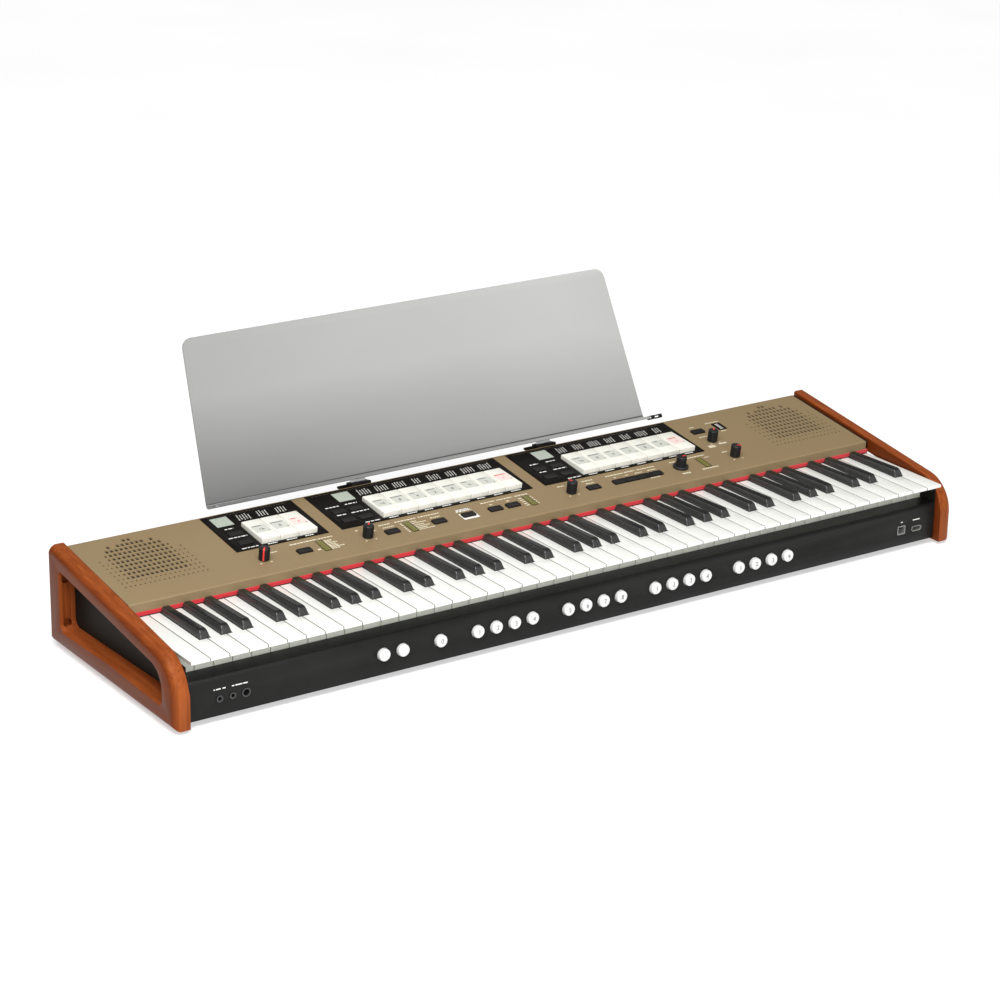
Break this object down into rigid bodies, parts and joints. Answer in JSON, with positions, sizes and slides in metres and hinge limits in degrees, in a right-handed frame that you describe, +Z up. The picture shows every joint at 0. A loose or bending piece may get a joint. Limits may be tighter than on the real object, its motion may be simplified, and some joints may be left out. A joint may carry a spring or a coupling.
{
  "type": "electronic organ",
  "caption": "Table-top electronic organ: one manual between wooden cheeks, rocker tabs, knobs and buttons on a sloping panel, thumb pistons below the keys, lift-off music desk.",
  "frame": {"origin": "on the table under the middle of the whole instrument's bounding box, music desk included", "axes": "+X to the player's right along the keyboard, +Y away from the player, +Z up"},
  "size_m": [1.1008, 0.3872, 0.3039],
  "materials": {
    "cheek_wood": "satin varnish over red-brown veneer",
    "black_steel": "fine black powder coat",
    "panel_bronze": "satin bronze paint",
    "red_felt": "dense woven felt",
    "plate_black": "printed black overlay",
    "zinc_steel": "zinc plated sheet",
    "circuit_board": "solder mask",
    "foot_rubber": "moulded",
    "desk_sheet": "smoky grey acrylic sheet",
    "black_plastic": "moulded satin black",
    "white_key": "polished key plastic",
    "black_key": "satin black key plastic",
    "stop_tab": "moulded white, printed",
    "piston_cap": "moulded white"
  },
  "bodies": {
    "case": {"left_cheek": "cheek_wood", "right_cheek": "cheek_wood", "base_pan": "black_steel", "front_panel": "black_steel", "rear_panel": "black_steel", "left_speaker": "black_steel", "right_speaker": "black_steel", "top_panel": "panel_bronze", "red_felt": "red_felt", "stop_plate_left": "plate_black", "stop_plate_middle": "plate_black", "stop_plate_right": "plate_black", "keybed_frame": "zinc_steel", "connector_panel": "zinc_steel", "contact_board": "circuit_board", "control_board": "circuit_board", "main_board": "circuit_board", "foot_front_left": "foot_rubber", "foot_rear_left": "foot_rubber", "foot_front_right": "foot_rubber", "foot_rear_right": "foot_rubber", "left_desk_bracket": "black_plastic", "right_desk_bracket": "black_plastic"},
    "white_keys_1": {"white_keys_1": "white_key"},
    "white_keys_2": {"white_keys_2": "white_key"},
    "white_keys_3": {"white_keys_3": "white_key"},
    "white_keys_4": {"white_keys_4": "white_key"},
    "white_keys_5": {"white_keys_5": "white_key"},
    "white_keys_6": {"white_keys_6": "white_key"},
    "white_keys_7": {"white_keys_7": "white_key"},
    "black_keys_1": {"black_keys_1": "black_key"},
    "black_keys_2": {"black_keys_2": "black_key"},
    "black_keys_3": {"black_keys_3": "black_key"},
    "black_keys_4": {"black_keys_4": "black_key"},
    "black_keys_5": {"black_keys_5": "black_key"},
    "black_keys_6": {"black_keys_6": "black_key"},
    "black_keys_7": {"black_keys_7": "black_key"},
    "tabs_left": {"tabs_left": "stop_tab"},
    "tabs_middle_1": {"tabs_middle_1": "stop_tab"},
    "tabs_middle_2": {"tabs_middle_2": "stop_tab"},
    "tabs_right_1": {"tabs_right_1": "stop_tab"},
    "tabs_right_2": {"tabs_right_2": "stop_tab"},
    "knob_1": {"knob_1": "black_plastic"},
    "knob_2": {"knob_2": "black_plastic"},
    "knob_3": {"knob_3": "black_plastic"},
    "knob_4": {"knob_4": "black_plastic"},
    "knob_5": {"knob_5": "black_plastic"},
    "knob_6": {"knob_6": "black_plastic"},
    "pistons_1": {"pistons_1": "piston_cap"},
    "pistons_2": {"pistons_2": "piston_cap"},
    "pistons_3": {"pistons_3": "piston_cap"},
    "pistons_4": {"pistons_4": "piston_cap"},
    "pistons_5": {"pistons_5": "piston_cap"},
    "pistons_6": {"pistons_6": "piston_cap"},
    "panel_buttons": {"panel_buttons": "black_plastic"},
    "plate_buttons_left": {"plate_buttons_left": "black_plastic"},
    "plate_buttons_middle": {"plate_buttons_middle": "black_plastic"},
    "plate_buttons_right": {"plate_buttons_right": "black_plastic"},
    "power_button": {"power_button": "black_plastic"},
    "music_desk": {"music_desk": "desk_sheet"}
  },
  "joints": [
    {"name": "white_keys_1_dip", "type": "hinge", "parent": "case", "child": "white_keys_1", "pos_m": [0, 0.02036, 0.066], "axis": [1, 0, 0], "range_deg": [0, 2.6], "stiffness_Nm_per_rad": 6, "springref_deg": -6.88},
    {"name": "white_keys_2_dip", "type": "hinge", "parent": "case", "child": "white_keys_2", "pos_m": [0, 0.02036, 0.066], "axis": [1, 0, 0], "range_deg": [0, 2.6], "stiffness_Nm_per_rad": 6, "springref_deg": -6.88},
    {"name": "white_keys_3_dip", "type": "hinge", "parent": "case", "child": "white_keys_3", "pos_m": [0, 0.02036, 0.066], "axis": [1, 0, 0], "range_deg": [0, 2.6], "stiffness_Nm_per_rad": 6, "springref_deg": -6.88},
    {"name": "white_keys_4_dip", "type": "hinge", "parent": "case", "child": "white_keys_4", "pos_m": [0, 0.02036, 0.066], "axis": [1, 0, 0], "range_deg": [0, 2.6], "stiffness_Nm_per_rad": 6, "springref_deg": -6.88},
    {"name": "white_keys_5_dip", "type": "hinge", "parent": "case", "child": "white_keys_5", "pos_m": [0, 0.02036, 0.066], "axis": [1, 0, 0], "range_deg": [0, 2.6], "stiffness_Nm_per_rad": 6, "springref_deg": -6.88},
    {"name": "white_keys_6_dip", "type": "hinge", "parent": "case", "child": "white_keys_6", "pos_m": [0, 0.02036, 0.066], "axis": [1, 0, 0], "range_deg": [0, 2.6], "stiffness_Nm_per_rad": 6, "springref_deg": -6.88},
    {"name": "white_keys_7_dip", "type": "hinge", "parent": "case", "child": "white_keys_7", "pos_m": [0, 0.02036, 0.066], "axis": [1, 0, 0], "range_deg": [0, 2.6], "stiffness_Nm_per_rad": 6, "springref_deg": -6.88},
    {"name": "black_keys_1_dip", "type": "hinge", "parent": "case", "child": "black_keys_1", "pos_m": [0, 0.02036, 0.078], "axis": [1, 0, 0], "range_deg": [0, 2.6], "stiffness_Nm_per_rad": 4, "springref_deg": -6.88},
    {"name": "black_keys_2_dip", "type": "hinge", "parent": "case", "child": "black_keys_2", "pos_m": [0, 0.02036, 0.078], "axis": [1, 0, 0], "range_deg": [0, 2.6], "stiffness_Nm_per_rad": 4, "springref_deg": -6.88},
    {"name": "black_keys_3_dip", "type": "hinge", "parent": "case", "child": "black_keys_3", "pos_m": [0, 0.02036, 0.078], "axis": [1, 0, 0], "range_deg": [0, 2.6], "stiffness_Nm_per_rad": 4, "springref_deg": -6.88},
    {"name": "black_keys_4_dip", "type": "hinge", "parent": "case", "child": "black_keys_4", "pos_m": [0, 0.02036, 0.078], "axis": [1, 0, 0], "range_deg": [0, 2.6], "stiffness_Nm_per_rad": 4, "springref_deg": -6.88},
    {"name": "black_keys_5_dip", "type": "hinge", "parent": "case", "child": "black_keys_5", "pos_m": [0, 0.02036, 0.078], "axis": [1, 0, 0], "range_deg": [0, 2.6], "stiffness_Nm_per_rad": 4, "springref_deg": -6.88},
    {"name": "black_keys_6_dip", "type": "hinge", "parent": "case", "child": "black_keys_6", "pos_m": [0, 0.02036, 0.078], "axis": [1, 0, 0], "range_deg": [0, 2.6], "stiffness_Nm_per_rad": 4, "springref_deg": -6.88},
    {"name": "black_keys_7_dip", "type": "hinge", "parent": "case", "child": "black_keys_7", "pos_m": [0, 0.02036, 0.078], "axis": [1, 0, 0], "range_deg": [0, 2.6], "stiffness_Nm_per_rad": 4, "springref_deg": -6.88},
    {"name": "tabs_left_rock", "type": "hinge", "parent": "case", "child": "tabs_left", "pos_m": [-0.28802, 0.05874, 0.10869], "axis": [1, 0, 0], "range_deg": [0, 3.5], "stiffness_Nm_per_rad": 1.5, "springref_deg": -6.88},
    {"name": "tabs_middle_1_rock", "type": "hinge", "parent": "case", "child": "tabs_middle_1", "pos_m": [-0.1122, 0.05874, 0.10869], "axis": [1, 0, 0], "range_deg": [0, 3.5], "stiffness_Nm_per_rad": 1.5, "springref_deg": -6.88},
    {"name": "tabs_middle_2_rock", "type": "hinge", "parent": "case", "child": "tabs_middle_2", "pos_m": [-0.0136, 0.05874, 0.10869], "axis": [1, 0, 0], "range_deg": [0, 3.5], "stiffness_Nm_per_rad": 1.5, "springref_deg": -6.88},
    {"name": "tabs_right_1_rock", "type": "hinge", "parent": "case", "child": "tabs_right_1", "pos_m": [0.1759, 0.05874, 0.10869], "axis": [1, 0, 0], "range_deg": [0, 3.5], "stiffness_Nm_per_rad": 1.5, "springref_deg": -6.88},
    {"name": "tabs_right_2_rock", "type": "hinge", "parent": "case", "child": "tabs_right_2", "pos_m": [0.26217, 0.05874, 0.10869], "axis": [1, 0, 0], "range_deg": [0, 3.5], "stiffness_Nm_per_rad": 1.5, "springref_deg": -6.88},
    {"name": "knob_1_turn", "type": "hinge", "parent": "case", "child": "knob_1", "pos_m": [-0.3405, -0.01895, 0.1011], "axis": [0, -0.1354, 0.9908], "range_deg": [-150, 150]},
    {"name": "knob_2_turn", "type": "hinge", "parent": "case", "child": "knob_2", "pos_m": [-0.203, -0.01945, 0.10104], "axis": [0, -0.1354, 0.9908], "range_deg": [-150, 150]},
    {"name": "knob_3_turn", "type": "hinge", "parent": "case", "child": "knob_3", "pos_m": [0.085, -0.02044, 0.1009], "axis": [0, -0.1354, 0.9908], "range_deg": [-150, 150]},
    {"name": "knob_4_turn", "type": "hinge", "parent": "case", "child": "knob_4", "pos_m": [0.253, -0.01796, 0.10124], "axis": [0, -0.1354, 0.9908], "range_deg": [-150, 150]},
    {"name": "knob_5_turn", "type": "hinge", "parent": "case", "child": "knob_5", "pos_m": [0.338, 0.02762, 0.10747], "axis": [0, -0.1354, 0.9908], "range_deg": [-150, 150]},
    {"name": "knob_6_turn", "type": "hinge", "parent": "case", "child": "knob_6", "pos_m": [0.338, -0.01895, 0.1011], "axis": [0, -0.1354, 0.9908], "range_deg": [-150, 150]},
    {"name": "pistons_1_press", "type": "slide", "parent": "case", "child": "pistons_1", "axis": [0, 1, 0], "range_m": [0, 0.002], "stiffness_N_per_m": 300, "springref_m": -0.002},
    {"name": "pistons_2_press", "type": "slide", "parent": "case", "child": "pistons_2", "axis": [0, 1, 0], "range_m": [0, 0.002], "stiffness_N_per_m": 300, "springref_m": -0.002},
    {"name": "pistons_3_press", "type": "slide", "parent": "case", "child": "pistons_3", "axis": [0, 1, 0], "range_m": [0, 0.002], "stiffness_N_per_m": 300, "springref_m": -0.002},
    {"name": "pistons_4_press", "type": "slide", "parent": "case", "child": "pistons_4", "axis": [0, 1, 0], "range_m": [0, 0.002], "stiffness_N_per_m": 300, "springref_m": -0.002},
    {"name": "pistons_5_press", "type": "slide", "parent": "case", "child": "pistons_5", "axis": [0, 1, 0], "range_m": [0, 0.002], "stiffness_N_per_m": 300, "springref_m": -0.002},
    {"name": "pistons_6_press", "type": "slide", "parent": "case", "child": "pistons_6", "axis": [0, 1, 0], "range_m": [0, 0.002], "stiffness_N_per_m": 300, "springref_m": -0.002},
    {"name": "panel_buttons_press", "type": "slide", "parent": "case", "child": "panel_buttons", "axis": [0, 0.1354, -0.9908], "range_m": [0, 0.001], "stiffness_N_per_m": 400, "springref_m": -0.002},
    {"name": "plate_buttons_left_press", "type": "slide", "parent": "case", "child": "plate_buttons_left", "axis": [0, 0.1354, -0.9908], "range_m": [0, 0.001], "stiffness_N_per_m": 300, "springref_m": -0.002},
    {"name": "plate_buttons_middle_press", "type": "slide", "parent": "case", "child": "plate_buttons_middle", "axis": [0, 0.1354, -0.9908], "range_m": [0, 0.001], "stiffness_N_per_m": 300, "springref_m": -0.002},
    {"name": "plate_buttons_right_press", "type": "slide", "parent": "case", "child": "plate_buttons_right", "axis": [0, 0.1354, -0.9908], "range_m": [0, 0.001], "stiffness_N_per_m": 300, "springref_m": -0.002},
    {"name": "power_button_press", "type": "slide", "parent": "case", "child": "power_button", "axis": [0, 0.1354, -0.9908], "range_m": [0, 0.001], "stiffness_N_per_m": 300, "springref_m": -0.002},
    {"name": "music_desk_lift", "type": "slide", "parent": "case", "child": "music_desk", "axis": [0, 0.4067, 0.9135], "range_m": [0, 0.022]}
  ]
}
